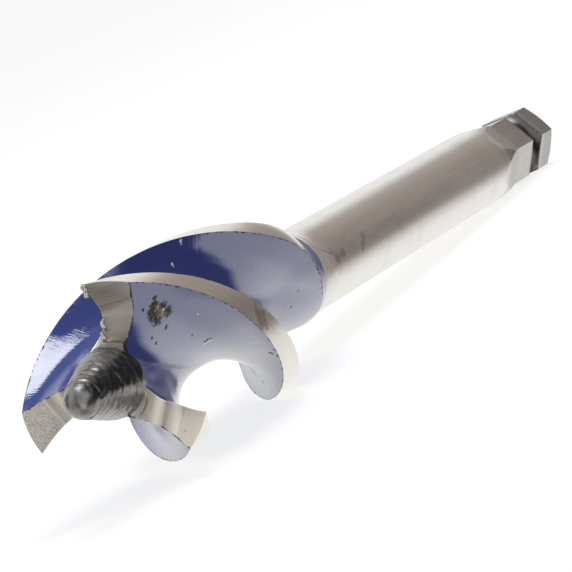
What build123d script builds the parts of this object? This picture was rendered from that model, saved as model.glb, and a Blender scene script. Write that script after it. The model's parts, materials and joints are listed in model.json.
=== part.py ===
from build123d import *
from math import acos, asin, atan2, cos, degrees, radians, sin, tan
import os

# A three-flute auger bit for wood, turned, milled and ground from one bar of steel. It is made
# standing on its own axis, spur tips at z = 0 and shank upwards, and laid down at the end.
# Lengths along the bit are counted from the spur tips.

# Cutting head: what passes through the hole.
cutting_diameter = 16.0
flute_count = 3
flute_lead = 84.0          # a land makes one right-handed turn over this length
land_length = 37.3         # full diameter, up to the corner of the tapered back
shoulder_radius = 25.0     # rounds that corner over
taper_half_angle = 15.6    # the tapered back of the head
throat_radius = 40.0       # blends the taper into the shaft

# Section of the head, square to the axis. A gullet turns twice on its way from the back of one
# land to the face of the next. Angles are counted from a land's spur.
land_angle = 21.6          # width of a land on the circumference
back_corner_radius = 5.9   # where it turns inwards under the back of a land
back_corner_angle = 19.6
back_round = 4.5
rake_corner_radius = 2.36  # where it turns outwards, up the face of the next land
rake_corner_angle = -12.5
rake_round = 6.2
first_spur_angle = -6.4    # place of the first spur about the axis

# The gullet floor lies on the web. It rises at the back of the head, on both sides of the corner
# of the taper, and ends a little higher than the shaft, where the throat cuts it down.
floor_lead = 6.3           # it starts this far in front of the corner
floor_rise_length = 19.0
floor_end_height = 0.4     # over the shaft
floor_sink = 0.25          # its foot starts this far inside the web

# Lead screw in front of the spurs. Its fine thread is left off, so this is the crests' outline.
screw_length = 9.2
screw_base_radius = 2.65
screw_root_length = 7.0    # behind its base it runs out into the web
screw_nose_radius = 1.35   # the nose is a ball that the cone runs into

# Ground end of each arm: a steep spur facet outside and a hollow lip facet inside.
spur_height = 1.5          # from the spur tips back to where the facets meet
facet_radius = 5.6         # where they meet
lip_hollow = 0.15          # the lip's deepest point lies this much further back
lip_radius = 4.7           # and this far from the axis
lip_root_radius = 3.1      # where the lip ends beside the screw
relief_angle = 8.0         # the facets fall away behind the lip

# Shank: a round shaft that runs into a quarter-inch hexagon with a groove for a chuck's balls.
shank_end = 151.0
shaft_diameter = 7.8
hex_flats = 6.35
hex_length = 25.0          # of the milled flats
hex_ramp = 8.0             # of that, where they run out into the round shaft
groove_setback = 8.0       # middle of the groove, from the end of the shank
groove_diameter = 4.8      # at its floor
groove_radius = 2.4        # of its round section
end_bevel = 1.1            # the end face is this much smaller all round than the shaft
end_chamfer_angle = 40.0   # between the chamfer's cone and the axis

# The bit lies on this side: a flat of the hexagon is turned the same way.
down_angle = 166.6

head_radius = cutting_diameter / 2
shaft_radius = shaft_diameter / 2
flat_radius = hex_flats / 2
pitch_angle = 360 / flute_count
end_radius = shaft_radius - end_bevel
shaft_end = shank_end - hex_length
clear = 2.0                # how far cutting tools and stock stand out past the metal

# The back of the head, from the corner of the taper to where its blend meets the shaft.
taper_run = (head_radius - shaft_radius) / tan(radians(taper_half_angle))
half_taper = tan(radians(taper_half_angle / 2))
land_end = land_length - shoulder_radius * half_taper
head_end = land_length + taper_run + throat_radius * half_taper
floor_start = land_length - floor_lead
floor_end = floor_start + floor_rise_length
floor_end_radius = shaft_radius + floor_end_height


def polar(radius, angle):
    """The point of a section at this radius and angle."""
    return Vector(radius * cos(radians(angle)), radius * sin(radians(angle)))


def beyond(start, end, distance):
    """The point this far past end, on the line from start."""
    return end + (end - start).normalized() * distance


# Profile of one gullet, from past the back edge of a land to past the front edge of the next.
with BuildSketch(Plane.XY) as gullet:
    with BuildLine():
        back_edge = polar(head_radius, land_angle)
        back_corner = polar(back_corner_radius, back_corner_angle)
        rake_corner = polar(rake_corner_radius, pitch_angle + rake_corner_angle)
        rake_edge = polar(head_radius, pitch_angle)
        profile = FilletPolyline(
            beyond(back_corner, back_edge, clear),
            back_corner,
            rake_corner,
            beyond(rake_corner, rake_edge, clear),
            radius=(back_round, rake_round),
        )
        outward = polar(cutting_diameter, pitch_angle / 2)
        Polyline(profile @ 1, rake_edge + outward, back_edge + outward, profile @ 0)
    make_face()
web_radius = gullet.sketch.distance_to(Vertex(0, 0, 0))

# Section of the arms that the gullets leave.
with BuildSketch(Plane.XY) as arms:
    Circle(head_radius + clear / 2)
    with PolarLocations(0, flute_count):
        add(gullet.sketch, mode=Mode.SUBTRACT)

# Head: the section twisted into helical arms, the floor of the gullets added where it rises at
# the back, and all of it turned down to the outline of the head.
with BuildPart() as head:
    turn = 360 / flute_lead
    twist_length = head_end + 2 * clear
    section = arms.face().rotate(Axis.Z, first_spur_angle - turn * clear)
    add(
        Solid.extrude_linear_with_rotation(
            section.moved(Location((0, 0, -clear))),
            center=(0, 0, -clear),
            normal=(0, 0, twist_length),
            angle=turn * twist_length,
        )
    )
    with BuildSketch(Plane.XZ):
        with BuildLine():
            base = Line((0, floor_start), (web_radius - floor_sink, floor_start))
            rise = Spline(
                base @ 1,
                (floor_end_radius, floor_end),
                tangents=((0, 1), (0, 1)),
            )
            wall = Line(rise @ 1, (floor_end_radius, head_end + clear))
            Polyline(wall @ 1, (0, head_end + clear), base @ 0)
        make_face()
    revolve(axis=Axis.Z)
    with BuildSketch(Plane.XZ):
        with BuildLine():
            corner = (head_radius, land_length)
            throat = (shaft_radius, land_length + taper_run)
            outline = FilletPolyline(
                (0, 0),
                (head_radius, 0),
                corner,
                throat,
                (shaft_radius, head_end + clear / 2),
                (0, head_end + clear / 2),
                radius=(0, shoulder_radius, throat_radius, 0),
            )
            Line(outline @ 1, outline @ 0)
        make_face()
    revolve(axis=Axis.Z, mode=Mode.INTERSECT)

# Cutter that grinds the end of one arm. It runs square to the spur's radius, dipping behind it.
relief = radians(relief_angle)
grinding = Plane(origin=(0, 0, 0), x_dir=(1, 0, 0), z_dir=(0, -cos(relief), -sin(relief)))
with BuildPart() as cutter:
    with BuildSketch(grinding):
        with BuildLine():
            spur = Line((head_radius, 0), (facet_radius, spur_height))
            lip = ThreePointArc(
                spur @ 1,
                (lip_radius, spur_height + lip_hollow),
                (lip_root_radius, spur_height / 3),
            )
            Polyline(
                lip @ 1,
                (lip_root_radius, -screw_length),
                (head_radius + clear, -screw_length),
                beyond(spur @ 1, spur @ 0, clear),
                spur @ 0,
            )
        make_face()
    extrude(amount=cutting_diameter / 2, both=True)

# Cutter that mills one flat of the hexagon, out past the end of the shank.
with BuildPart() as flat_cutter:
    with BuildSketch(Plane.XZ):
        with BuildLine():
            Polyline(
                (shaft_radius, shaft_end),
                (flat_radius, shaft_end + hex_ramp),
                (flat_radius, shank_end + clear),
                (head_radius, shank_end + clear),
                (head_radius, shaft_end),
                close=True,
            )
        make_face()
    extrude(amount=head_radius, both=True)

# The whole bit, standing.
with BuildPart() as standing:
    add(head.part)
    with PolarLocations(0, flute_count, start_angle=first_spur_angle):
        add(cutter.part, mode=Mode.SUBTRACT)
    with BuildSketch(Plane.XZ):
        with BuildLine():
            ball = Vector(0, screw_nose_radius - screw_length)
            base = Vector(screw_base_radius, 0) - ball
            turn_in = atan2(base.Y, base.X) - acos(screw_nose_radius / base.length)
            nose = CenterArc(ball, screw_nose_radius, -90, 90 + degrees(turn_in))
            Polyline(
                nose @ 1,
                (screw_base_radius, 0),
                (web_radius - floor_sink, screw_root_length),
                (0, screw_root_length),
                nose @ 0,
            )
        make_face()
    revolve(axis=Axis.Z)
    with BuildSketch(Plane.XZ):
        with BuildLine():
            chamfer_length = end_bevel / tan(radians(end_chamfer_angle))
            Polyline(
                (0, head_end),
                (shaft_radius, head_end),
                (shaft_radius, shank_end - chamfer_length),
                (end_radius, shank_end),
                (0, shank_end),
                close=True,
            )
        make_face()
    revolve(axis=Axis.Z)
    with PolarLocations(0, 6, start_angle=down_angle):
        add(flat_cutter.part, mode=Mode.SUBTRACT)
    with BuildSketch(Plane.XZ):
        with Locations((groove_diameter / 2 + groove_radius, shank_end - groove_setback)):
            Circle(groove_radius)
    revolve(axis=Axis.Z, mode=Mode.SUBTRACT)

# Laid down: it touches the floor with the rounded shoulder of its head and with the end of the
# lower flat, or of the round shaft where that is thick, so its axis dips towards the shank.
shoulder = Vector(land_end, head_radius - shoulder_radius)
heel_setback = (flat_radius - end_radius) / tan(radians(end_chamfer_angle))
flat_heel = Vector(shank_end - heel_setback, flat_radius)
shaft_heel = Vector(shaft_end, shaft_radius)


def dip_onto(heel):
    """Dip of the axis, in radians, with the shoulder and this point on the floor."""
    reach = heel - shoulder
    return asin(shoulder_radius / reach.length) - atan2(reach.Y, reach.X)


dip = min(dip_onto(flat_heel), dip_onto(shaft_heel))
axis_height = shoulder_radius + shoulder.Y * cos(dip) + shoulder.X * sin(dip)
side = radians(down_angle)
front = -screw_length * cos(dip)
rear = shank_end * cos(dip) + end_radius * sin(dip)
laid = Plane(
    origin=(-(front + rear) / 2, 0, axis_height),
    x_dir=(-cos(side) * sin(dip), -sin(side), -cos(side) * cos(dip)),
    z_dir=(cos(dip), 0, -sin(dip)),
)
with BuildPart(laid) as auger_bit:
    add(standing.part)

print("dip", round(degrees(dip), 3), "degrees,", auger_bit.part.bounding_box())
auger_bit.part.label = "auger_bit"
os.makedirs("parts", exist_ok=True)
export_step(auger_bit.part, "parts/auger_bit.step")
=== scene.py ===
import bpy
import bmesh
import json
from bisect import bisect_right
from math import acos, atan2, cos, degrees, hypot, pi, radians, sin, sqrt, tan
from mathutils import Matrix, Vector, noise


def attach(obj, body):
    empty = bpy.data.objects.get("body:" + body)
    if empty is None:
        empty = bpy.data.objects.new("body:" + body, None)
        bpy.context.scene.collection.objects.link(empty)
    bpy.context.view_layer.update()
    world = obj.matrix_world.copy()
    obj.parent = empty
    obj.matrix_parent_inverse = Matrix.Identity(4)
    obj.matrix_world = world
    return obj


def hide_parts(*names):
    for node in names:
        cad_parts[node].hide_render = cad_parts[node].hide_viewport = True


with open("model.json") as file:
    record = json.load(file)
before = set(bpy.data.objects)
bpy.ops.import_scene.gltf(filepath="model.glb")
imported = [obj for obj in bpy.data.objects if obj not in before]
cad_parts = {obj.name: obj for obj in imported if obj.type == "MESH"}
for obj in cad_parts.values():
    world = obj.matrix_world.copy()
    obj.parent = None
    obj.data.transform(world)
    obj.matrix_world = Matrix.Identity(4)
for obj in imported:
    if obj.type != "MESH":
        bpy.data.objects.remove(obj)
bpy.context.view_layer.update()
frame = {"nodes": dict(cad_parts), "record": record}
print("frame loaded:", sorted(frame["nodes"]))

scene = bpy.context.scene
mm = 0.001

# Everything on the bit is shaped standing on its axis, in millimetres, spur tips at z = 0 and shank
# upwards, and then laid where the record's mounts say the shank lies.
standing = {"length": 151.0, "upFlatAngle": 346.6, "shaftRadius": 3.9}
mounts = {mount["name"]: mount for mount in frame["record"]["mounts"]}
bitAxis = Vector(mounts["shank_face"]["axis"]).normalized()
flatNormal = Vector(mounts["upper_flat"]["axis"]).normalized()
acrossFlat = bitAxis.cross(flatNormal)
turnBack = radians(standing["upFlatAngle"])
zeroDirection = flatNormal * cos(turnBack) - acrossFlat * sin(turnBack)
quarterDirection = flatNormal * sin(turnBack) + acrossFlat * cos(turnBack)
spurPlane = Vector(mounts["shank_face"]["pos_m"]) - bitAxis * standing["length"] * mm
turned = Matrix((zeroDirection, quarterDirection, bitAxis)).transposed().to_4x4()
layDown = Matrix.Translation(spurPlane) @ turned @ Matrix.Scale(mm, 4)


# Shape of the head. Most of it is as in the solid.
head = {
    "radius": 8.0, "lead": 84.0, "firstSpur": -6.4, "arms": 3, "landAngle": 21.6,
    "backCorner": (5.9, 19.6), "backRound": 4.5, "rakeCorner": (2.36, -12.5), "rakeRound": 6.2,
    "corner": 37.3, "shoulderRadius": 25.0, "taperAngle": 15.6, "throatRadius": 40.0,
    "floorStart": 31.0, "floorEnd": 50.0, "floorFoot": 2.25, "floorTop": 4.3,
    "floorSoft": 0.8, "floorSoftens": (6.0, 12.0),
    "screwBase": 2.65, "screwRoot": 7.0,
    "spurHeight": 1.5, "facetRadius": 5.6, "relief": 8.0,
    "lipHollow": 0.15, "lipRadius": 4.7, "lipRoot": 3.1, "lipFoot": 2.75, "lipCurve": 1.8,
    # The faces of the arms stand back at their roots, each by its own amount. That begins and ends
    # at these reaches along the arm, and fades behind the front and across the arm.
    "rootShift": (0.3, 0.5, 0.25), "rootBegins": (1.7, 2.8), "rootEnds": (3.6, 5.6),
    "rootFades": (1.5, 7.0), "rootAcross": (-0.4, 1.9),
    # The tapered back is a little off the axis.
    "offCentre": 0.4, "offCentreAngle": -18.0, "offCentreFrom": (33.0, 41.0), "offCentreTo": 44.0,
    "steelEnd": 43.0, "lacquerSkin": 0.03, "skinLength": 4.0, "sharpEdge": 32,
    "fineStep": 0.2, "fineLength": 6.0, "step": 0.35,
    "webRows": 5, "lipRows": 7, "spurRows": 7, "landSteps": 8, "arcSteps": 60, "profileStep": 0.05,
    "webInset": 0.2, "grainApart": 20,
}
pitch = 360 / head["arms"]      # degrees from arm to arm
helix = 360 / head["lead"]      # degrees that the arms turn in a millimetre


def polar(radius, angle, z=0.0):
    return Vector((radius * cos(radians(angle)), radius * sin(radians(angle)), z))


def ramp(value, low, high):
    share = min(max((value - low) / (high - low), 0.0), 1.0)
    return share * share * (3 - 2 * share)


# Walks along the gullet's profile: straight, round, straight, round, straight.
def gulletProfile():
    steps = head["arcSteps"]
    backEdge = polar(head["radius"], head["landAngle"])
    rakeEdge = polar(head["radius"], pitch)
    back = polar(*head["backCorner"])
    rake = polar(head["rakeCorner"][0], pitch + head["rakeCorner"][1])
    past = 2.0      # the profile runs this far out of the bit
    ends = [edge + (edge - corner).normalized() * past
            for edge, corner in ((backEdge, back), (rakeEdge, rake))]
    points = [ends[0]]
    rounds = ((ends[0], back, rake, head["backRound"]), (back, rake, ends[1], head["rakeRound"]))
    for before, corner, after, radius in rounds:
        toBefore = (before - corner).normalized()
        toAfter = (after - corner).normalized()
        half = toBefore.angle(toAfter) / 2
        middle = corner + (toBefore + toAfter).normalized() * radius / sin(half)
        first = corner + toBefore * radius / tan(half) - middle
        last = corner + toAfter * radius / tan(half) - middle
        sweep = first.angle(last)
        for k in range(steps + 1):
            swung = first * sin(sweep * (1 - k / steps)) + last * sin(sweep * k / steps)
            points.append(middle + swung / sin(sweep))
    points.append(ends[1])
    fine = []
    for before, after in zip(points, points[1:]):
        count = max(1, round((after - before).length / head["profileStep"]))
        fine += [before.lerp(after, k / count) for k in range(count)]
    fine.append(points[-1])
    return fine


profile = gulletProfile()
lowest = min(range(len(profile)), key=lambda index: profile[index].length)


# One side of a gullet, as radius and angle against the way from its lowest line outwards.
class GulletSide:
    def __init__(self, points, turn):
        self.turn = turn
        self.way, self.radius, self.angle = [0.0], [], []
        for index, point in enumerate(points):
            if index:
                self.way.append(self.way[-1] + (point - points[index - 1]).length)
            self.radius.append(point.length)
            self.angle.append(degrees(atan2(point.y, point.x)) - turn)

    def find(self, known, value, wanted):
        high = min(max(bisect_right(known, value), 1), len(known) - 1)
        low = high - 1
        span = known[high] - known[low]
        share = min(max((value - known[low]) / span, 0.0), 1.0) if span else 0.0
        return wanted[low] + (wanted[high] - wanted[low]) * share

    def wayTo(self, radius):
        return self.find(self.radius, radius, self.way)

    def at(self, way):
        return self.find(self.way, way, self.radius), self.find(self.way, way, self.angle)

    # Way to where the ground end of an arm reaches this distance out along the spur's radius. The
    # reach is halved in on, and the turn of the helix at that height is found in a few rounds.
    def wayToReach(self, reach, height):
        low, high = 0.0, self.wayTo(head["radius"])
        halvings, rounds = 30, 6
        for halving in range(halvings):
            way = (low + high) / 2
            radius, angle = self.at(way)
            around = radians(angle)
            for attempt in range(rounds):
                z = height(radius * cos(around), radius * sin(around))
                around = radians(angle + helix * z)
            if radius * cos(around) < reach:
                low = way
            else:
                high = way
        return way


trailing = GulletSide(profile[lowest::-1], 0.0)
leading = GulletSide(profile[lowest:], pitch)


# Outline of the head along its axis: land, rounded shoulder, taper, throat.
halfTaper = tan(radians(head["taperAngle"] / 2))
taperRun = (head["radius"] - standing["shaftRadius"]) / tan(radians(head["taperAngle"]))
landEnd = head["corner"] - head["shoulderRadius"] * halfTaper
shoulderEnd = landEnd + head["shoulderRadius"] * sin(radians(head["taperAngle"]))
headEnd = head["corner"] + taperRun + head["throatRadius"] * halfTaper
throatStart = headEnd - head["throatRadius"] * sin(radians(head["taperAngle"]))


def blankRadius(z):
    if z <= landEnd:
        return head["radius"]
    if z <= shoulderEnd:
        big = head["shoulderRadius"]
        return head["radius"] - big + sqrt(big * big - (z - landEnd) ** 2)
    if z <= throatStart:
        return head["radius"] - (z - head["corner"]) * tan(radians(head["taperAngle"]))
    big = head["throatRadius"]
    back = min(headEnd - z, big)
    return standing["shaftRadius"] + big - sqrt(big * big - max(back, 0.0) ** 2)


# The gullet's floor is lifted in front by the screw's root and at the back where it runs out.
def floorRadius(z):
    foot = head["floorFoot"]
    cone = head["screwBase"] + (foot - head["screwBase"]) * min(z / head["screwRoot"], 1.0)
    rise = foot + (head["floorTop"] - foot) * ramp(z, head["floorStart"], head["floorEnd"])
    return max(cone, rise)


# Height of the ground end of an arm, in that arm's own directions: x out to the spur.
def lipHeight(x, y):
    facet, lip, hollow = head["facetRadius"], head["lipRadius"], head["lipHollow"]
    deep = head["spurHeight"] + hollow
    if x >= facet:
        height = (head["radius"] - x) * head["spurHeight"] / (head["radius"] - facet)
    elif x > lip:
        height = deep - hollow * ((x - lip) / (facet - lip)) ** 2
    else:
        share = (lip - x) / (lip - head["lipRoot"])
        height = deep - (deep - head["spurHeight"] / 3) * share ** head["lipCurve"]
    return height + y * tan(radians(head["relief"]))


# Rows run up an arm's faces, from the gullet's lowest line to the land.
webStep = 0.06      # length of the wall between the web and the lip
stepRow = head["webRows"] + 1
lipRow = stepRow + head["lipRows"]
lastRow = lipRow + head["spurRows"]
capWays = {}
for side in (leading, trailing):
    marks = (
        (0, 0.0),
        (head["webRows"], side.wayToReach(head["lipFoot"] - webStep, lambda x, y: 0.0)),
        (stepRow, side.wayToReach(head["lipFoot"], lipHeight)),
        (lipRow, side.wayToReach(head["facetRadius"], lipHeight)),
        (lastRow, side.wayTo(head["radius"])),
    )
    capWays[side] = []
    for (row, way), (nextRow, nextWay) in zip(marks, marks[1:]):
        capWays[side] += [way + (nextWay - way) * k / (nextRow - row) for k in range(nextRow - row)]
    capWays[side].append(marks[-1][1])


def facePoint(side, row, z, even):
    evenWay = side.wayTo(blankRadius(z)) * row / lastRow
    return side.at(capWays[side][row] * (1 - even) + evenWay * even)


# Radius and angle in the section, from an arm's spur, of a point of the skin or of the end face.
def sectionPoint(row, across, z, even=0.0):
    first = facePoint(leading, row, z, even)
    last = facePoint(trailing, row, z, even)
    radius = first[0] + (last[0] - first[0]) * across
    angle = first[1] + (last[1] - first[1]) * across
    # Across an arm the point swings round the axis, and near the ridge of its end it goes straight.
    flat = 1 - abs(row - lipRow) / (lastRow - lipRow)
    if 0 < across < 1 and flat > 0:
        point = polar(radius, angle).lerp(polar(*first).lerp(polar(*last), across), flat)
        radius, angle = hypot(point.x, point.y), degrees(atan2(point.y, point.x))
    floor = floorRadius(z)
    soft = head["floorSoft"] * ramp(z, *head["floorSoftens"])
    lift = soft * max(1 - abs(radius - floor) / soft, 0.0) ** 2 / 4 if soft else 0.0
    return min(max(radius, floor) + lift, blankRadius(z)), angle


# Height of the end face at a point of it, found in rounds because the helix turns as it rises.
def frontHeight(row, across):
    if row <= head["webRows"]:
        return 0.0
    rounds = 14
    z = 1.0
    radius, angle = sectionPoint(row, across, 0.0)
    for attempt in range(rounds):
        around = radians(angle + helix * z)
        z = 0.5 * z + 0.5 * lipHeight(radius * cos(around), radius * sin(around))
    return z


def addObject(name, data):
    made = bpy.data.objects.new(name, data)
    scene.collection.objects.link(made)
    return made


def meshFrom(bm, name):
    mesh = bpy.data.meshes.new(name)
    bm.to_mesh(mesh)
    bm.free()
    return mesh


def finishPiece(bm, name, materials, sharpEdge):
    closest = 0.002     # points nearer than this are one
    for face in bm.faces:
        face.smooth = True
    for edge in bm.edges:
        if len(edge.link_faces) == 2 and edge.calc_face_angle(0.0) > radians(sharpEdge):
            edge.smooth = False
    bmesh.ops.remove_doubles(bm, verts=bm.verts, dist=closest)
    bmesh.ops.recalc_face_normals(bm, faces=bm.faces)
    bm.transform(layDown)
    mesh = meshFrom(bm, name)
    for material in materials:
        mesh.materials.append(material)
    piece = addObject(name, mesh)
    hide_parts("auger_bit")
    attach(piece, "root")
    print("made", name, len(mesh.polygons), "faces")


# Extrudes some edges, and gives the new points, the new faces and the edges to go on from.
def grow(bm, edges):
    grown = bmesh.ops.extrude_edge_only(bm, edges=edges)["geom"]
    verts = {item for item in grown if isinstance(item, bmesh.types.BMVert)}
    faces = [item for item in grown if isinstance(item, bmesh.types.BMFace)]
    edges = [item for item in grown if isinstance(item, bmesh.types.BMEdge)]
    return verts, faces, [edge for edge in edges if all(end in verts for end in edge.verts)]


def aroundAxis(vert):
    return atan2(vert.co.y, vert.co.x) % (2 * pi)


# Both of its maps are in millimetres: grain runs along and across a face, and rim counts the ways
# to the face's edges and to its end.
def buildHead(*materials):
    bm = bmesh.new()
    rowOf = bm.verts.layers.int.new("row")
    acrossOf = bm.verts.layers.float.new("across")
    armOf = bm.verts.layers.int.new("arm")
    startOf = bm.verts.layers.float.new("start")
    grain = bm.loops.layers.uv.new("grain")
    rim = bm.loops.layers.uv.new("rim")
    landWidth = radians(head["landAngle"]) * head["radius"]

    # Distance of a point to the edges of its land, or along the face to the land's edge.
    def toEdge(vert, z, onLand):
        if onLand:
            return min(vert[acrossOf], 1 - vert[acrossOf]) * landWidth
        side = leading if vert[acrossOf] < 0.5 else trailing
        return side.wayTo(blankRadius(z)) * (1 - vert[rowOf] / lastRow)

    # Puts a point where its row and its share across the arm lie in the section, at this height, and
    # moves the root of the arm's face back, with the arm turned so that its spur lies along x.
    def place(vert, height, section, even):
        radius, angle = sectionPoint(vert[rowOf], vert[acrossOf], section, even)
        turn = head["firstSpur"] + pitch * vert[armOf] + helix * height
        spot = polar(radius, angle, height)
        near = ramp(spot.x, *head["rootBegins"]) * (1 - ramp(spot.x, *head["rootEnds"]))
        near *= 1 - ramp(height, *head["rootFades"])
        spot.y += head["rootShift"][vert[armOf]] * near * (1 - ramp(spot.y, *head["rootAcross"]))
        vert.co = Matrix.Rotation(radians(turn), 3, "Z") @ spot

    # The first rings of the skin follow the ground end and level out.
    def placeSkin(vert, z):
        height = z
        if z < head["fineLength"]:
            height = vert[startOf] + z * (1 - vert[startOf] / head["fineLength"])
        place(vert, height, height, ramp(z, 0.0, head["fineLength"]))
        aside = head["offCentre"] * ramp(height, *head["offCentreFrom"])
        aside *= 1 - ramp(height, head["offCentreTo"], headEnd - 1)
        vert.co += polar(aside, head["offCentreAngle"])

    # The web's disc, and the arms drawn outwards from it row by row.
    land = head["landSteps"]
    bmesh.ops.create_circle(bm, cap_ends=True, segments=head["arms"] * land, radius=head["screwBase"])
    foot = sorted(bm.verts, key=aroundAxis)
    disc = list(bm.faces)
    for index, vert in enumerate(foot):
        arm, step = divmod(index, land)
        vert[armOf] = arm
        vert[acrossOf] = step / land
    for arm in range(head["arms"]):
        base = [foot[(arm * land + k) % len(foot)] for k in range(land + 1)]
        edges = [bm.edges.get((base[k], base[k + 1])) for k in range(land)]
        for row in range(1, lastRow + 1):
            newVerts, newFaces, edges = grow(bm, edges)
            for vert in newVerts:
                vert[rowOf] = row
                if row == 1 and vert[armOf] != arm:     # grown from the next arm's first corner
                    vert[armOf] = arm
                    vert[acrossOf] = 1.0
    for vert in bm.verts:
        vert[startOf] = frontHeight(vert[rowOf], vert[acrossOf])
        place(vert, vert[startOf], 0.0, 0.0)
    bmesh.ops.inset_region(bm, faces=disc, thickness=head["webInset"], use_even_offset=True)
    widthShare = 0.5    # width of an arm's end, as a share of the reach
    for face in bm.faces:
        arm = max(vert[armOf] for vert in face.verts)
        turned = Matrix.Rotation(-radians(head["firstSpur"] + pitch * arm), 3, "Z")
        for loop in face.loops:
            spot = turned @ loop.vert.co
            inwards = min(loop.vert[acrossOf], 1 - loop.vert[acrossOf]) * spot.x * widthShare
            loop[grain].uv = spot.xy
            loop[rim].uv = (inwards, head["radius"] - spot.x)
        face.material_index = 1

    # The skin, drawn back along the helix ring by ring.
    ring = [edge for edge in bm.edges if len(edge.link_faces) == 1]
    z = lastZ = 0.0
    while z < headEnd:
        z = min(z + (head["fineStep"] if z < head["fineLength"] else head["step"]), headEnd)
        newVerts, newFaces, ring = grow(bm, ring)
        for vert in newVerts:
            placeSkin(vert, z)
        for face in newFaces:
            onLand = all(vert[rowOf] == lastRow for vert in face.verts)
            face.material_index = 2 if onLand and z < head["steelEnd"] else 0
            for loop in face.loops:
                vert = loop.vert
                edge = toEdge(vert, vert.co.z, onLand)
                way = edge if vert[acrossOf] < 0.5 else -edge
                loop[grain].uv = (vert.co.z, way + head["grainApart"] * vert[armOf])
                loop[rim].uv = (edge, z if vert in newVerts else lastZ)
        lastZ = z
    bmesh.ops.holes_fill(bm, edges=ring, sides=0)
    for vert in bm.verts:       # the lacquer stands a little proud of the bare shaft
        if vert.co.z > headEnd - head["skinLength"]:
            thicker = 1 + head["lacquerSkin"] / standing["shaftRadius"]
            vert.co.x *= thicker
            vert.co.y *= thicker
    finishPiece(bm, "head", materials, head["sharpEdge"])


# A round piece, drawn along the axis ring by ring. shapeRing puts the points of a ring in place.
def drawRings(bm, segments, levels, shapeRing):
    indexOf = bm.verts.layers.int.new("index")
    bmesh.ops.create_circle(bm, cap_ends=True, segments=segments, radius=1.0)
    firstVerts = sorted(bm.verts, key=aroundAxis)
    for index, vert in enumerate(firstVerts):
        vert[indexOf] = index
    shapeRing(firstVerts, levels[0])
    ring = list(bm.edges)
    for z in levels[1:]:
        newVerts, newFaces, ring = grow(bm, ring)
        shapeRing(sorted(newVerts, key=lambda vert: vert[indexOf]), z)
    bmesh.ops.holes_fill(bm, edges=ring, sides=0)


# Even heights from low to high, without low itself.
def spread(low, high, count):
    return [low + (high - low) * k / count for k in range(1, count + 1)]


# Shaft, hexagon and groove, as in the solid. A ring has its points on six flats and corners.
shank = {
    "start": 56.2, "shaftEnd": 126.0, "ramp": 8.0, "flatRadius": 3.175,
    "end": 151.0, "grooveSetback": 8.0, "grooveFloor": 2.4, "grooveRadius": 2.4,
    "endBevel": 1.1, "endAngle": 40.0, "leastAngle": 4.0, "mostAngle": 29.3,
    "flatSteps": 6, "cornerSteps": 2, "shaftRings": 24, "firstCut": 0.2, "rampRings": 20,
    "flatRings": 6, "grooveRings": 40, "chamferRings": 10, "sharpEdge": 22,
}


def buildShank(*materials):
    bm = bmesh.new()
    bar, flat = standing["shaftRadius"], shank["flatRadius"]
    hexStart = shank["shaftEnd"]
    steps = 2 * (shank["flatSteps"] + shank["cornerSteps"])
    endRadius = bar - shank["endBevel"]
    slope = tan(radians(shank["endAngle"]))
    chamferStart = shank["end"] - shank["endBevel"] / slope
    grooveAt, groove = shank["end"] - shank["grooveSetback"], shank["grooveRadius"]

    def shapeRing(verts, z):
        share = min(max((z - hexStart) / shank["ramp"], 0.0), 1.0)
        distance = bar + (flat - bar) * share
        half = degrees(acos(min(distance / bar, 1.0)))
        half = min(max(half, shank["leastAngle"]), shank["mostAngle"])
        limit = bar
        if abs(z - grooveAt) < groove:
            bow = sqrt(groove ** 2 - (z - grooveAt) ** 2)
            limit = min(limit, shank["grooveFloor"] + groove - bow)
        if z > chamferStart:
            limit = min(limit, endRadius + (shank["end"] - z) * slope)
        for index, vert in enumerate(verts):
            side, part = divmod(index, steps)
            part -= steps // 2
            share = abs(part)
            if share <= shank["flatSteps"]:
                angle = half * share / shank["flatSteps"]
            else:
                angle = half + (30 - half) * (share - shank["flatSteps"]) / shank["cornerSteps"]
            radius = min(limit, distance / cos(radians(angle))) if z > hexStart else limit
            turn = standing["upFlatAngle"] + 60 * side + (angle if part >= 0 else -angle)
            vert.co = polar(radius, turn, z)

    firstCut, flatStart = hexStart + shank["firstCut"], hexStart + shank["ramp"]
    inGroove = shank["grooveRings"]
    levels = [shank["start"]] + spread(shank["start"], hexStart, shank["shaftRings"])
    levels += [firstCut] + spread(firstCut, flatStart, shank["rampRings"])
    levels += spread(flatStart, grooveAt - groove, shank["flatRings"])
    levels += [grooveAt - groove * cos(pi * k / inGroove) for k in range(1, inGroove + 1)]
    levels += spread(grooveAt + groove, chamferStart, shank["flatRings"])
    levels += spread(chamferStart, shank["end"], shank["chamferRings"])
    drawRings(bm, 6 * steps, levels, shapeRing)
    finishPiece(bm, "shank", materials, shank["sharpEdge"])


# Screw point: a cone with a blunt nose and a fine, worn thread. Its foot is buried in the web. The
# wear and the unevenness are noises on a round of their own radius.
screw = {
    "length": 9.2, "pitch": 1.05, "crestAtBase": 2.9, "slope": 0.18, "depth": 0.045, "flankShare": 0.8,
    "noseLength": 1.9, "noseWidth": 1.5, "nosePower": 1.6, "runOutStart": -0.1,
    "buried": 1.9, "buriedRadius": 2.3, "threadBegins": (1.2, 2.6),
    "wear": 0.8, "wearRadius": 2.0, "wearScale": 0.9,
    "uneven": 0.05, "unevenRadius": 2.2, "unevenScale": 1.7, "unevenAlong": 1.6,
    "unevenBegins": (0.5, 1.5), "segments": 96, "step": 0.08, "noseStep": 0.003, "noseRings": 6,
    "sharpEdge": 70,
}


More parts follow.
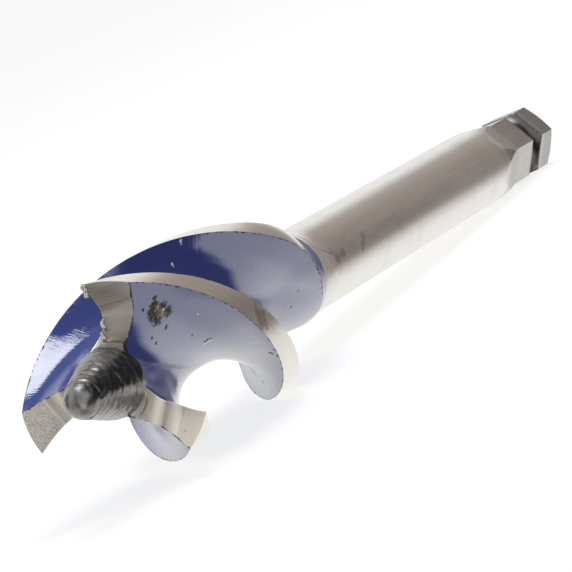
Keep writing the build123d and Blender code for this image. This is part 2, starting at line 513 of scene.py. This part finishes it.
def screwRadius(z, angle):
    back = z + screw["length"]
    crest = screw["crestAtBase"] + z * screw["slope"]
    if back < screw["noseLength"]:
        left = 1 - max(back, 0.0) / screw["noseLength"]
        crest = min(crest, screw["noseWidth"] * sqrt(1 - left ** screw["nosePower"]))
    buried = ramp(z, screw["runOutStart"], screw["buried"])
    crest -= (crest - screw["buriedRadius"]) * buried
    # One pitch of the thread: a narrow crest, straight flanks and a rounded root.
    share = (z / screw["pitch"] - angle / 360) % 1.0
    height = max(0.0, 1 - abs(share - 0.5) * 2 / screw["flankShare"])
    height = height * height * (3 - 2 * height)
    spot = polar(screw["wearRadius"], angle, z) * screw["wearScale"]
    worn = 1 + screw["wear"] * noise.noise(spot)
    depth = screw["depth"] * worn * ramp(back, *screw["threadBegins"])
    spot = polar(screw["unevenRadius"], angle, z * screw["unevenAlong"])
    uneven = screw["uneven"] * noise.noise(spot * screw["unevenScale"])
    return crest - depth * (1 - height) + uneven * ramp(back, *screw["unevenBegins"])


def buildScrew(*materials):
    bm = bmesh.new()
    segments = screw["segments"]

    def shapeRing(verts, z):
        for index, vert in enumerate(verts):
            angle = 360 * index / segments
            vert.co = polar(screwRadius(z, angle), angle, z)

    nose = range(1, screw["noseRings"] + 1)
    levels = [screw["noseStep"] * k * k - screw["length"] for k in nose]
    while levels[-1] < screw["buried"]:
        levels.append(levels[-1] + screw["step"])
    drawRings(bm, segments, levels, shapeRing)
    finishPiece(bm, "screwPoint", materials, screw["sharpEdge"])


# Burrs that grinding and use left on the first arm's end, rolled flakes of steel.
burrs = {
    "flakes": (     # place with the arm's spur along x, size, and turn about the bit's axis
        ((7.70, 0.14, 0.16), (0.80, 0.50, 0.62), -25), ((7.26, 0.12, 0.42), (0.95, 0.40, 0.50), 12),
        ((4.66, 0.38, 1.55), (0.70, 0.34, 0.52), 40), ((4.30, 0.42, 1.30), (0.44, 0.36, 0.66), -20),
        ((3.55, 0.34, 0.85), (0.90, 0.36, 0.60), -12), ((3.02, 0.16, 0.40), (0.80, 0.50, 0.46), 10),
        ((2.86, 0.60, 0.16), (0.60, 0.80, 0.34), 20),
    ),
    "roughness": 0.22, "lumpScale": 4.5, "lumpsApart": 3.7, "sharpEdge": 80,
}


def buildBurrs(*materials):
    bm = bmesh.new()
    for number, (place, size, turn) in enumerate(burrs["flakes"]):
        made = bmesh.ops.create_icosphere(bm, subdivisions=3, radius=0.5)["verts"]
        bmesh.ops.scale(bm, vec=size, verts=made)
        for vert in made:
            spot = vert.co * burrs["lumpScale"] + Vector((number * burrs["lumpsApart"], 0, 0))
            lump = noise.noise(spot) * burrs["roughness"] * min(size)
            vert.co += vert.co.normalized() * lump
        turned = Matrix.Rotation(radians(turn), 3, "Z")
        bmesh.ops.rotate(bm, cent=(0, 0, 0), matrix=turned, verts=made)
        bmesh.ops.translate(bm, vec=place, verts=made)
    bm.transform(Matrix.Rotation(radians(head["firstSpur"]), 4, "Z"))
    finishPiece(bm, "burrs", materials, burrs["sharpEdge"])


# Shader wiring, short enough to read.
class Wiring:
    def __init__(self, tree):
        self.tree = tree

    def add(self, kind, inputs=(), **settings):
        node = self.tree.nodes.new("ShaderNode" + kind)
        for name, value in settings.items():
            setattr(node, name, value)
        for name, value in dict(inputs).items():
            self.feed(node.inputs[name], value)
        return node

    def feed(self, socket, value):
        if isinstance(value, bpy.types.NodeSocket):
            self.tree.links.new(value, socket)
        else:
            socket.default_value = value

    def math(self, operation, a, b=0.0, clamp=False):
        return self.add("Math", {0: a, 1: b}, operation=operation, use_clamp=clamp).outputs[0]

    def plus(self, a, b):
        return self.math("ADD", a, b)

    def minus(self, a, b):
        return self.math("SUBTRACT", a, b)

    def times(self, a, b):
        return self.math("MULTIPLY", a, b)

    def most(self, first, *others):
        for other in others:
            first = self.math("MAXIMUM", first, other)
        return first

    # A value between 0 and 1 made to swing to both sides of 0.
    def swing(self, value, amount):
        return self.times(self.minus(value, 0.5), amount)

    def vectors(self, operation, a, b):
        return self.add("VectorMath", {0: a, 1: b}, operation=operation).outputs

    def separate(self, vector):
        return self.add("SeparateXYZ", {0: vector}).outputs

    # 0 below low and 1 above high, or the other way round where low is the greater.
    def step(self, value, low, high):
        inputs = {"Value": value, "From Min": low, "From Max": high}
        return self.add("MapRange", inputs, interpolation_type="SMOOTHSTEP").outputs["Result"]

    def noise(self, vector, scale, detail, roughness):
        inputs = {"Vector": vector, "Scale": scale, "Detail": detail, "Roughness": roughness}
        return self.add("TexNoise", inputs).outputs["Fac"]

    # Colours by default, or values with kind="FLOAT".
    def blend(self, share, a, b, kind="RGBA"):
        inputs = {"Factor": share, "A": a, "B": b}
        return self.add("Mix", inputs, data_type=kind).outputs["Result"]

    def blendShaders(self, share, a, b):
        return self.add("MixShader", {0: share, 1: a.outputs[0], 2: b.outputs[0]})

    # Lays a colour over another where a mask is, by a share of it.
    def cover(self, mask, under, colour, share):
        return self.blend(self.times(mask, share), under, colour)

    # Spots where a noise is high.
    def spots(self, vector, noise, step):
        return self.step(self.noise(vector, *noise), *step)

    # The head's own maps, the second one as separate values.
    def maps(self):
        grain, rim = (self.add("UVMap", uv_map=name).outputs["UV"] for name in ("grain", "rim"))
        return grain, self.separate(rim)

    def place(self, group, **inputs):
        return self.add("Group", inputs, node_tree=group).outputs


def emptyTree(owner):
    owner.use_nodes = True
    owner.node_tree.nodes.clear()
    return Wiring(owner.node_tree)


def newGroup(name, inputs, outputs):
    group = bpy.data.node_groups.new(name, "ShaderNodeTree")
    for socket, kind in inputs.items():
        group.interface.new_socket(socket, in_out="INPUT", socket_type="NodeSocket" + kind)
    for socket in outputs:
        group.interface.new_socket(socket, in_out="OUTPUT", socket_type="NodeSocketFloat")
    entry = group.nodes.new("NodeGroupInput")
    leave = group.nodes.new("NodeGroupOutput")
    return group, Wiring(group), entry.outputs, leave.inputs


# Effects that several materials share. Noises are given as scale, detail and roughness, and steps
# as where they begin and where they are complete.
effects = {
    "blotRagged": 2.6, "blotStep": (1.3, 0.7),
    "lineNoise": (1.0, 3.0, 0.6), "bandNoise": (1.0, 2.0, 0.5),
    "bandHeight": 0.45, "bandTone": 0.5, "toneStep": (0.35, 0.65),
    "wearDetail": 3.0, "wearRoughness": 0.6, "wearFull": 0.75, "wearStep": (0.0, 0.05),
}


# A ragged blot round a centre, for chips and the scar.
def makeBlotGroup():
    inputs = {"Position": "Vector", "Ragged": "Float", "Centre": "Vector", "Radius": "Float"}
    group, wire, given, result = newGroup("blot", inputs, ("Mask",))
    away = wire.vectors("DISTANCE", given["Position"], given["Centre"])["Value"]
    share = wire.math("DIVIDE", away, given["Radius"])
    share = wire.plus(share, wire.swing(given["Ragged"], effects["blotRagged"]))
    wire.feed(result["Mask"], wire.step(share, *effects["blotStep"]))
    return group


# Lines that a grinding wheel or a polishing belt leaves: long one way, fine the other.
def makeStreakGroup():
    inputs = {"Vector": "Vector", "Fine": "Vector", "Coarse": "Vector"}
    group, wire, given, result = newGroup("streaks", inputs, ("Height", "Tone"))
    fine = wire.vectors("MULTIPLY", given["Vector"], given["Fine"])["Vector"]
    coarse = wire.vectors("MULTIPLY", given["Vector"], given["Coarse"])["Vector"]
    lines = wire.noise(fine, *effects["lineNoise"])
    bands = wire.noise(coarse, *effects["bandNoise"])
    tone = wire.blend(effects["bandTone"], lines, bands, kind="FLOAT")
    wire.feed(result["Height"], wire.blend(effects["bandHeight"], lines, bands, kind="FLOAT"))
    wire.feed(result["Tone"], wire.step(tone, *effects["toneStep"]))
    return group


# A broken line along an edge: 1 on the edge, in spots of uneven width.
def makeEdgeGroup():
    inputs = dict.fromkeys(("Distance", "Width", "Scale", "Cover"), "Float") | {"Position": "Vector"}
    group, wire, given, result = newGroup("edgeWear", inputs, ("Mask",))
    spots = wire.noise(given["Position"], given["Scale"], effects["wearDetail"], effects["wearRoughness"])
    bare = wire.minus(1.0, given["Cover"])
    width = wire.times(given["Width"], wire.step(spots, bare, effects["wearFull"]))
    inside = wire.minus(width, given["Distance"])
    wire.feed(result["Mask"], wire.step(inside, *effects["wearStep"]))
    return group


blotGroup, streakGroup, edgeGroup = makeBlotGroup(), makeStreakGroup(), makeEdgeGroup()


def newMaterial(name, **constants):
    material = bpy.data.materials.new(name)
    wire = emptyTree(material)
    shader = wire.add("BsdfPrincipled", constants)
    wire.add("OutputMaterial", {"Surface": shader.outputs["BSDF"]})
    return material, wire, shader.inputs, wire.add("TexCoord").outputs["Object"]


# The rough mask adds to the roughness of the look.
def finishLook(wire, shader, look, colour, rough, height):
    wire.feed(shader["Base Color"], colour)
    wire.feed(shader["Roughness"], wire.plus(rough, look["roughness"]))
    bump = wire.add("Bump", {"Height": height, "Distance": look["relief"], "Strength": 1.0})
    wire.feed(shader["Normal"], bump.outputs["Normal"])


def wornEdge(wire, place, distance, values):
    return wire.place(edgeGroup, Distance=distance, Position=place, **values)["Mask"]


# Blots at some spots of the bit, which are given as the place in millimetres and the radius.
def blots(wire, position, ragged, spots):
    masks = []
    for place, radius in spots:
        centre = [number * mm for number in place]
        spot = wire.place(blotGroup, Position=position, Ragged=ragged, Centre=centre, Radius=radius * mm)
        masks.append(spot["Mask"])
    return wire.most(*masks)


# Blue lacquer in the gullets: glossy, drawn out across the flute, chipped, with a scar on one arm, and a
# painted lit blue on the front of the arm that faces the lamp.
lacquerLook = {
    # The first blue is painted light, the lacquer as lit by the lamp on one arm's front; the second is
    # the lacquer's own blue.
    "front": (0.045, 0.085, 0.40, 1), "back": (0.052, 0.068, 0.26, 1),
    "burnt": (0.030, 0.027, 0.025, 1), "olive": (0.10, 0.10, 0.06, 1), "rust": (0.33, 0.20, 0.13, 1),
    "bare": (0.86, 0.84, 0.80, 1), "steel": (0.66, 0.63, 0.58, 1),
    "index": 2.15, "roughness": 0.06, "dull": 0.45, "bareRough": 0.11,
    "smear": 0.04, "smearStep": (0.3, 0.8),
    "relief": 0.000024, "peel": 0.12, "peelNoise": (1300.0, 2.0, 0.5),
    "streaks": {"Fine": (4.2, 0.45, 1.0), "Coarse": (1.5, 0.16, 1.0)},
    # Where the painted lit blue lies: on one side of the bit, and how far back from the spurs it reaches.
    "litSide": (0.003, 0.0), "litDepth": (7.0, 20.0), "clouds": 0.4, "cloudNoise": (260.0, 3.0, 0.5),
    "edges": {"Width": 0.19, "Scale": 2300.0, "Cover": 0.62}, "edgesEnd": (49.5, 48.5),
    "mouth": {"Width": 0.2, "Scale": 1500.0, "Cover": 0.62},
    "specks": ((3800.0, 2.0, 0.5), (0.745, 0.77)), "raggedNoise": (2900.0, 5.0, 0.72),
    "mottleNoise": (5200.0, 3.0, 0.7), "oliveStep": (0.45, 0.62), "rustStep": (0.58, 0.42),
    "ends": (51.74, 51.86), "wander": 1.8, "wanderNoise": (420.0, 3.0, 0.6),
    "burntSpots": (
        ((-66.58, -4.76, 13.95), 0.22), ((-67.55, -3.81, 13.49), 0.16), ((-66.4, -4.38, 13.4), 0.5),
        ((-65.35, -4.73, 13.05), 0.45), ((-64.6, -4.62, 12.45), 0.5), ((-65.75, -4.05, 12.4), 0.62),
        ((-66.5, -4.0, 12.9), 0.5), ((-64.44, -3.95, 11.32), 0.17), ((-60.11, -4.24, 9.58), 0.11),
        ((-57.16, -4.27, 8.50), 0.19), ((-56.88, -4.46, 8.49), 0.16), ((-57.3, -4.1, 8.45), 0.12),
        ((-66.48, -3.21, 11.10), 0.12), ((-65.83, -3.13, 10.56), 0.15), ((-49.70, -6.40, 4.89), 0.22),
        ((-50.60, -7.10, 5.08), 0.14), ((-49.40, -6.67, 4.45), 0.13), ((-37.68, -0.96, 1.72), 0.14),
        ((-27.21, -3.71, 6.89), 0.16), ((-28.04, -2.87, 5.81), 0.14),
    ),
    "rustSpots": (
        ((-65.48, -4.31, 12.50), 0.42), ((-64.95, -4.5, 12.2), 0.34), ((-65.9, -4.35, 13.2), 0.2),
    ),
    "bareSpots": (
        ((-57.10, -3.88, 8.28), 0.11), ((-56.95, -3.98, 8.28), 0.10), ((-56.81, -4.07, 8.28), 0.11),
        ((-56.66, -4.20, 8.29), 0.09), ((-56.53, -4.31, 8.30), 0.10), ((-60.91, -5.67, 11.02), 0.09),
        ((-65.75, -4.5, 13.55), 0.12), ((-65.2, -4.6, 12.7), 0.10), ((-47.21, -0.89, 14.47), 0.13),
        ((-47.15, -0.80, 14.2), 0.10), ((-45.87, -1.92, 15.85), 0.15), ((-45.8, -1.8, 15.6), 0.10),
    ),
}


def makeLacquer():
    look = lacquerLook
    material, wire, shader, place = newMaterial("blueLacquer", IOR=look["index"])
    grain, rim = wire.maps()
    along = wire.separate(grain)[0]
    ragged = wire.noise(place, *look["raggedNoise"])
    spots = (look["burntSpots"], look["rustSpots"], look["bareSpots"])
    burnt, rust, bare = (blots(wire, place, ragged, group) for group in spots)
    edges = wornEdge(wire, place, rim[0], look["edges"])
    edges = wire.times(edges, wire.step(along, *look["edgesEnd"]))
    mouth = wornEdge(wire, place, rim[1], look["mouth"])
    specks = wire.spots(place, *look["specks"])
    dark = wire.most(edges, mouth, burnt, specks)
    # Painted light: a brighter, stronger blue on the front of the arm that faces the lamp, a lit copy of
    # the lacquer's own blue.
    clouds = wire.noise(place, *look["cloudNoise"])
    other = wire.step(wire.separate(place)[1], *look["litSide"])
    depth = wire.most(other, wire.step(along, *look["litDepth"]))
    depth = wire.math("ADD", depth, wire.swing(clouds, look["clouds"]), clamp=True)
    colour = wire.blend(depth, look["front"], look["back"])
    # The scar is mottled, black with olive, and rusty in its middle.
    colour = wire.blend(dark, colour, look["burnt"])
    mottle = wire.noise(place, *look["mottleNoise"])
    olive = wire.times(burnt, wire.step(mottle, *look["oliveStep"]))
    rusty = wire.times(rust, wire.step(mottle, *look["rustStep"]))
    colour = wire.blend(rusty, wire.blend(olive, colour, look["olive"]), look["rust"])
    # The lacquer stops in an uneven line where the shaft begins.
    wander = wire.swing(wire.noise(place, *look["wanderNoise"]), look["wander"])
    shaft = wire.step(wire.minus(along, wander), *look["ends"])
    colour = wire.blend(bare, wire.blend(shaft, colour, look["steel"]), look["bare"])
    worn = wire.most(dark, rusty)
    wire.feed(shader["Metallic"], wire.most(shaft, worn))
    rough = wire.times(wire.most(shaft, bare), look["bareRough"])
    rough = wire.plus(rough, wire.times(wire.step(clouds, *look["smearStep"]), look["smear"]))
    rough = wire.plus(wire.times(worn, look["dull"]), rough)
    height = wire.place(streakGroup, Vector=grain, **look["streaks"])["Height"]
    height = wire.plus(height, wire.times(wire.noise(place, *look["peelNoise"]), look["peel"]))
    finishLook(wire, shader, look, colour, rough, wire.minus(height, dark))
    return material


# Bare ground steel at the ends of the arms: fine lines square to the spur's radius. Places across
# the bit are in metres, and the reach along an arm and the way in from its edges in millimetres.
groundLook = {
    "steel": (0.63, 0.595, 0.545, 1), "dark": (0.50, 0.468, 0.425, 1), "speck": (0.38, 0.36, 0.33, 1),
    "bright": (0.78, 0.745, 0.69, 1), "heel": (0.06, 0.054, 0.05, 1),
    "roughness": 0.34, "toneRough": 0.1, "relief": 0.000005, "coarseRelief": 0.8,
    "streaks": {"Fine": (7.5, 0.25, 1.0), "Coarse": (2.2, 0.2, 1.0)},
    "speckleNoise": (8200.0, 3.0, 0.65), "speckleStep": (0.3, 0.7),
    "coarseSide": (0.002, 0.004), "facetStep": (5.5, 5.7),
    "ridgeAt": 5.52, "ridgeHighlightStep": (0.13, 0.04), "ridgeHighlightShare": 0.8,
    "darkerByScrew": ((0.36, 0.335, 0.30, 1), 0.6), "darkerByScrewReach": (5.2, 4.0), "darkerByScrewHeight": (0.0085, 0.0095),
    "pits": ((1700.0, 3.0, 0.6), (0.68, 0.74)), "pitShare": 0.6,
    "edges": {"Width": 0.16, "Scale": 1100.0, "Cover": 0.66},
    # The painted highlight along the cutting edges: which side cuts, how near the edge it lies, and how
    # strong it is.
    "cuttingSide": (1.0, 0.6), "edgeHighlightStep": (0.10, 0.04), "edgeHighlightShare": 0.8,
}


def makeGround():
    look = groundLook
    material, wire, shader, place = newMaterial("groundSteel", Metallic=1.0)
    grain, rim = wire.maps()
    side, height = wire.separate(place)[1:]
    reach, behind = wire.separate(grain)[:2]
    lines = wire.place(streakGroup, Vector=grain, **look["streaks"])
    # The steep facet of one spur is rougher, with a painted highlight along the ridge where it begins.
    coarse = wire.step(side, *look["coarseSide"])
    outer = wire.times(wire.step(reach, *look["facetStep"]), coarse)
    fromRidge = wire.math("ABSOLUTE", wire.minus(reach, look["ridgeAt"]))
    ridgeHighlight = wire.times(wire.step(fromRidge, *look["ridgeHighlightStep"]), coarse)
    speckle = wire.noise(place, *look["speckleNoise"])
    tone = wire.blend(outer, lines["Tone"], wire.step(speckle, *look["speckleStep"]), kind="FLOAT")
    dark = wire.blend(outer, look["dark"], look["speck"])
    colour = wire.blend(tone, dark, wire.blend(outer, look["steel"], look["bright"]))
    # The lip of the uppermost arm is darker beside the screw.
    darkerByScrew = wire.times(wire.step(reach, *look["darkerByScrewReach"]), wire.step(height, *look["darkerByScrewHeight"]))
    colour = wire.cover(darkerByScrew, colour, *look["darkerByScrew"])
    # Painted highlight: the ridge is lightened towards the bright steel colour.
    colour = wire.cover(ridgeHighlight, colour, look["bright"], look["ridgeHighlightShare"])
    # A painted highlight runs along the cutting edges, and the heels behind them are dark.
    cutting = wire.step(behind, *look["cuttingSide"])
    edges = wornEdge(wire, place, rim[0], look["edges"])
    heels = wire.times(edges, wire.minus(1.0, cutting))
    pits = wire.times(wire.spots(place, *look["pits"]), look["pitShare"])
    colour = wire.blend(wire.most(pits, heels), colour, look["heel"])
    edgeHighlight = wire.times(wire.step(rim[0], *look["edgeHighlightStep"]), cutting)
    colour = wire.cover(edgeHighlight, colour, look["bright"], look["edgeHighlightShare"])
    rough = wire.times(tone, look["toneRough"])
    grit = wire.times(wire.times(speckle, outer), look["coarseRelief"])
    finishLook(wire, shader, look, colour, rough, wire.plus(lines["Height"], grit))
    return material


# Bright steel of the lands, polished along the helix, nicked at its edges.
landLook = {
    "steel": (0.67, 0.635, 0.58, 1), "worn": ((0.56, 0.51, 0.44, 1), 0.6),
    "nick": (0.10, 0.09, 0.085, 1), "edges": {"Width": 0.17, "Scale": 1300.0, "Cover": 0.56},
    "streaks": {"Fine": (0.3, 9.0, 1.0), "Coarse": (0.12, 2.5, 1.0)},
    "roughness": 0.10, "toneRough": 0.06, "relief": 0.000003,
    "brown": ((0.19, 0.155, 0.13, 1), 0.6), "stainNoise": (900.0, 2.0, 0.5),
    "stains": (((-53.3, -7.98, 8.2), 1.0), ((-52.75, -7.95, 7.65), 0.7)),
}


def makeLand():
    look = landLook
    material, wire, shader, place = newMaterial("landSteel", Metallic=1.0)
    grain, rim = wire.maps()
    lines = wire.place(streakGroup, Vector=grain, **look["streaks"])
    edges = wornEdge(wire, place, rim[0], look["edges"])
    colour = wire.cover(lines["Tone"], look["steel"], *look["worn"])
    colour = wire.blend(edges, colour, look["nick"])
    stain = blots(wire, place, wire.noise(place, *look["stainNoise"]), look["stains"])
    colour = wire.cover(stain, colour, *look["brown"])
    rough = wire.times(lines["Tone"], look["toneRough"])
    finishLook(wire, shader, look, colour, rough, lines["Height"])
    return material


# Nickel-bright shaft and hexagon, stained, with a used hexagon and painted shade darkening the groove.
# The steps are in metres along the bit, or from the middle of the groove.
shaftLook = {
    "steel": (0.68, 0.65, 0.605, 1), "smudges": ((170.0, 4.0, 0.6), (0.5, 0.72)),
    "soiled": ((0.50, 0.47, 0.42, 1), 0.45), "brown": ((0.13, 0.115, 0.10, 1), 0.42),
    "used": ((0.28, 0.27, 0.255, 1), 0.5), "usedStep": (0.1265, 0.1300),
    "tail": ((0.28, 0.27, 0.255, 1), 0.75), "tailStep": (0.1455, 0.1475),
    "grooveShade": ((0.09, 0.087, 0.08, 1), 0.9), "grooveStep": (0.0028, 0.0018),
    "streaks": {"Fine": (260.0, 3200.0, 3200.0), "Coarse": (40.0, 700.0, 700.0)},
    "roughness": 0.17, "toneRough": 0.05, "usedRough": 0.10, "relief": 0.000003,
    "stainNoise": (400.0, 2.0, 0.5),
    "stains": (
        ((-12.8, -3.88, 6.85), 0.45), ((-12.1, -3.89, 6.88), 0.5), ((-11.4, -3.89, 6.9), 0.5),
        ((-10.8, -3.89, 6.95), 0.45), ((-10.2, -3.89, 7.0), 0.35), ((-4.1, -3.82, 6.1), 0.4),
        ((-3.6, -3.83, 6.4), 0.5), ((-3.0, -3.84, 6.7), 0.5), ((-2.4, -3.85, 7.0), 0.4),
    ),
}


def makeShaft():
    look = shaftLook
    material, wire, shader, place = newMaterial("brightShaft", Metallic=1.0)
    lines = wire.place(streakGroup, Vector=place, **look["streaks"])
    smudge = wire.spots(place, *look["smudges"])
    stain = blots(wire, place, wire.noise(place, *look["stainNoise"]), look["stains"])
    along = wire.vectors("DOT_PRODUCT", place, bitAxis)["Value"]
    along = wire.minus(along, spurPlane.dot(bitAxis))
    grooveAt = (shank["end"] - shank["grooveSetback"]) * mm
    fromGroove = wire.math("ABSOLUTE", wire.minus(along, grooveAt))
    used = wire.step(along, *look["usedStep"])
    colour = wire.cover(smudge, look["steel"], *look["soiled"])
    colour = wire.cover(stain, colour, *look["brown"])
    colour = wire.cover(used, colour, *look["used"])
    colour = wire.cover(wire.step(along, *look["tailStep"]), colour, *look["tail"])
    # Painted shade: the groove's recess is darkened nearly to black.
    colour = wire.cover(wire.step(fromGroove, *look["grooveStep"]), colour, *look["grooveShade"])
    rough = wire.times(lines["Tone"], look["toneRough"])
    rough = wire.plus(rough, wire.times(used, look["usedRough"]))
    finishLook(wire, shader, look, colour, rough, lines["Height"])
    return material


# Blackened screw point, worn to dark grey metal.
screwLook = {
    "black": (0.14, 0.13, 0.132, 1), "grey": (0.225, 0.218, 0.212, 1), "bright": (0.62, 0.60, 0.56, 1),
    "patches": ((900.0, 4.0, 0.6), (0.36, 0.5)), "glints": ((2600.0, 2.0, 0.5), (0.74, 0.77)),
    "gritNoise": (2400.0, 3.0, 0.6), "gritRough": 0.12, "roughness": 0.25, "relief": 0.000024,
}


def makeScrew():
    look = screwLook
    material, wire, shader, place = newMaterial("darkScrew", Metallic=1.0)
    colour = wire.blend(wire.spots(place, *look["patches"]), look["black"], look["grey"])
    colour = wire.blend(wire.spots(place, *look["glints"]), colour, look["bright"])
    grit = wire.noise(place, *look["gritNoise"])
    finishLook(wire, shader, look, colour, wire.times(grit, look["gritRough"]), grit)
    return material


# Torn, bright and dark steel of the burrs.
burrLook = {
    "dark": (0.20, 0.18, 0.16, 1), "bright": (0.80, 0.77, 0.72, 1),
    "gritNoise": (2400.0, 3.0, 0.6), "roughness": 0.32, "relief": 0.00003,
}


def makeBurrSteel():
    look = burrLook
    material, wire, shader, place = newMaterial("burrSteel", Metallic=1.0)
    grit = wire.noise(place, *look["gritNoise"])
    colour = wire.blend(grit, look["dark"], look["bright"])
    finishLook(wire, shader, look, colour, 0.0, grit)
    return material


buildHead(makeLacquer(), makeGround(), makeLand())
buildShank(makeShaft())
buildScrew(makeScrew())
buildBurrs(makeBurrSteel())
print("bit made")


# Azimuths are counted from +X towards +Y, in degrees.
def direction(azimuth, elevation):
    around, rise = radians(azimuth), radians(elevation)
    return Vector((cos(around) * cos(rise), sin(around) * cos(rise), sin(rise)))


# Camera at the photograph's angle: what it looks at, which way and from how far.
view = {
    "target": (-0.01778, -0.00007, 0.00675), "distance": 0.4792,
    "azimuth": 17.024, "elevation": -4.686, "roll": 23.542, "lens": 346.49, "sensor": 36.0,
}
forward = direction(view["azimuth"], view["elevation"])
camera = addObject("camera", bpy.data.cameras.new("camera"))
camera.data.lens = view["lens"]
camera.data.sensor_width = view["sensor"]
camera.location = Vector(view["target"]) - forward * view["distance"]
upright = forward.to_track_quat("-Z", "Y").to_matrix()
camera.rotation_euler = (upright @ Matrix.Rotation(radians(-view["roll"]), 3, "Z")).to_euler()
scene.camera = camera


# Floor: white, with no more than a faint shadow under the bit.
floorLook = {"size": 3.0, "white": 0.86, "seen": 0.3612, "glow": 0.78}


def buildFloor():
    bm = bmesh.new()
    bmesh.ops.create_grid(bm, x_segments=1, y_segments=1, size=floorLook["size"])
    floor = addObject("floor", meshFrom(bm, "floor"))
    material = bpy.data.materials.new("whiteFloor")
    wire = emptyTree(material)
    plain = wire.add("BsdfDiffuse", {"Color": [floorLook["white"]] * 3 + [1]})
    dimmed = wire.add("BsdfDiffuse", {"Color": [floorLook["seen"]] * 3 + [1]})
    glow = wire.add("Emission", {"Strength": floorLook["glow"]})
    seen = wire.add("AddShader", {0: dimmed.outputs[0], 1: glow.outputs[0]})
    path = wire.add("LightPath").outputs
    mixed = wire.blendShaders(path["Is Camera Ray"], plain, seen)
    wire.add("OutputMaterial", {"Surface": mixed.outputs[0]})
    floor.data.materials.append(material)
    floor.visible_glossy = False    # the room's own brightness below the horizon stands in for it


buildFloor()


# What the metal and the lacquer mirror, by azimuth and elevation: a white table and room with
# darker and brighter fields. Softness is that of a field's sides and of its lower and upper edges.
# With a slope, the latter sink towards the field's left.
room = {
    "white": (1.0, 1.0, 0.99, 1), "fill": 0.55,
    "patches": (    # colour, across, up, softness, slope
        ((1.30, 1.29, 1.27, 1), (-45, 45), (-47, -23), (12, 7), 0),
        ((1.40, 1.40, 1.38, 1), (36, 75), (-8, 32), (6, 8), 0),
        ((0.40, 0.36, 0.335, 1), (-45, 3.5), (-12.5, 19), (5.5, 3.5), 0),
        ((0.035, 0.035, 0.04, 1), (-76, -18.4), (-19.0, 32), (3, 4), 0),
        ((0.13, 0.13, 0.14, 1), (-78, -12), (26, 62), (4, 4), 0),
        ((0.025, 0.025, 0.03, 1), (-118, -57), (-24, 26), (4, 4), 0.8),
        ((0.24, 0.24, 0.25, 1), (-18, 24), (31, 70), (6, 6), 0),
        ((0.34, 0.33, 0.32, 1), (156, 179.9), (-55, 90), (8, 10), 0),
        ((0.34, 0.33, 0.32, 1), (-188, -170), (-55, 90), (6, 10), 0),
        ((0.32, 0.31, 0.30, 1), (58, 86), (-10, 40), (6, 4), 0),
        ((0.50, 0.50, 0.49, 1), (-200, 200), (-95, -68), (6, 4), 0),
        ((0.22, 0.22, 0.22, 1), (-200, 200), (80, 95), (6, 5), 0),
        ((1.50, 1.47, 1.42, 1), (98, 128), (-12, 36), (8, 10), 0),
        ((1.45, 1.42, 1.37, 1), (-162, -118), (-66, -28), (10, 8), 0),
        ((0.72, 0.70, 0.68, 1), (-166, -122), (8, 66), (8, 10), 0),
    ),
}


def makePatchGroup():
    names = ("Azimuth", "Elevation", "Left", "Right", "Bottom", "Top", "SideSoft", "EdgeSoft", "Slope")
    group, wire, given, result = newGroup("roomPatch", dict.fromkeys(names, "Float"), ("Mask",))
    sunk = wire.times(wire.minus(given["Right"], given["Azimuth"]), given["Slope"])
    height = wire.plus(given["Elevation"], wire.most(sunk, 0.0))
    across = (given["Azimuth"], given["Left"], given["Right"], given["SideSoft"])
    up = (height, given["Bottom"], given["Top"], given["EdgeSoft"])
    mask = 1.0
    for value, low, high, soft in (across, up):
        hard = wire.times(soft, -1.0)
        for past in (wire.minus(value, low), wire.minus(high, value)):
            mask = wire.times(mask, wire.step(past, hard, soft))
    wire.feed(result["Mask"], mask)
    return group


def buildWorld():
    world = bpy.data.worlds.new("room")
    scene.world = world
    wire = emptyTree(world)
    x, y, z = wire.separate(wire.add("TexCoord").outputs["Generated"])
    elevation = wire.times(wire.math("ARCSINE", z), 180 / pi)
    azimuth = wire.times(wire.math("ARCTAN2", y, x), 180 / pi)
    patchGroup = makePatchGroup()
    colour = room["white"]
    for patchColour, (left, right), (bottom, top), (sideSoft, edgeSoft), slope in room["patches"]:
        patch = wire.place(
            patchGroup, Azimuth=azimuth, Elevation=elevation, Left=left, Right=right,
            Bottom=bottom, Top=top, SideSoft=sideSoft, EdgeSoft=edgeSoft, Slope=slope,
        )
        colour = wire.blend(patch["Mask"], colour, patchColour)
    mirrored = wire.add("Background", {"Color": colour})
    plain = wire.add("Background", {"Strength": 1.0})
    fill = wire.add("Background", {"Strength": room["fill"]})
    path = wire.add("LightPath").outputs
    shiny = wire.most(path["Is Glossy Ray"], path["Is Transmission Ray"])
    unseen = wire.blendShaders(shiny, fill, mirrored)
    mixed = wire.blendShaders(path["Is Camera Ray"], unseen, plain)
    wire.add("OutputWorld", {"Surface": mixed.outputs[0]})


buildWorld()

# One soft lamp above, which is also the hard-edged highlight in the lacquer.
lamp = {"azimuth": -30.5, "elevation": 68.5, "distance": 0.9, "width": 0.48, "depth": 0.41, "level": 4.3}
towards = direction(lamp["azimuth"], lamp["elevation"])
softbox = addObject("softbox", bpy.data.lights.new("softbox", "AREA"))
softbox.data.shape = "RECTANGLE"
softbox.data.size = lamp["width"]
softbox.data.size_y = lamp["depth"]
softbox.data.energy = lamp["level"] * pi * lamp["width"] * lamp["depth"]
softbox.location = spurPlane + towards * lamp["distance"]
softbox.rotation_euler = (-towards).to_track_quat("-Z", "Y").to_euler()
softbox.visible_camera = False
print("lights and room made")

scene.view_settings.view_transform = "Standard"
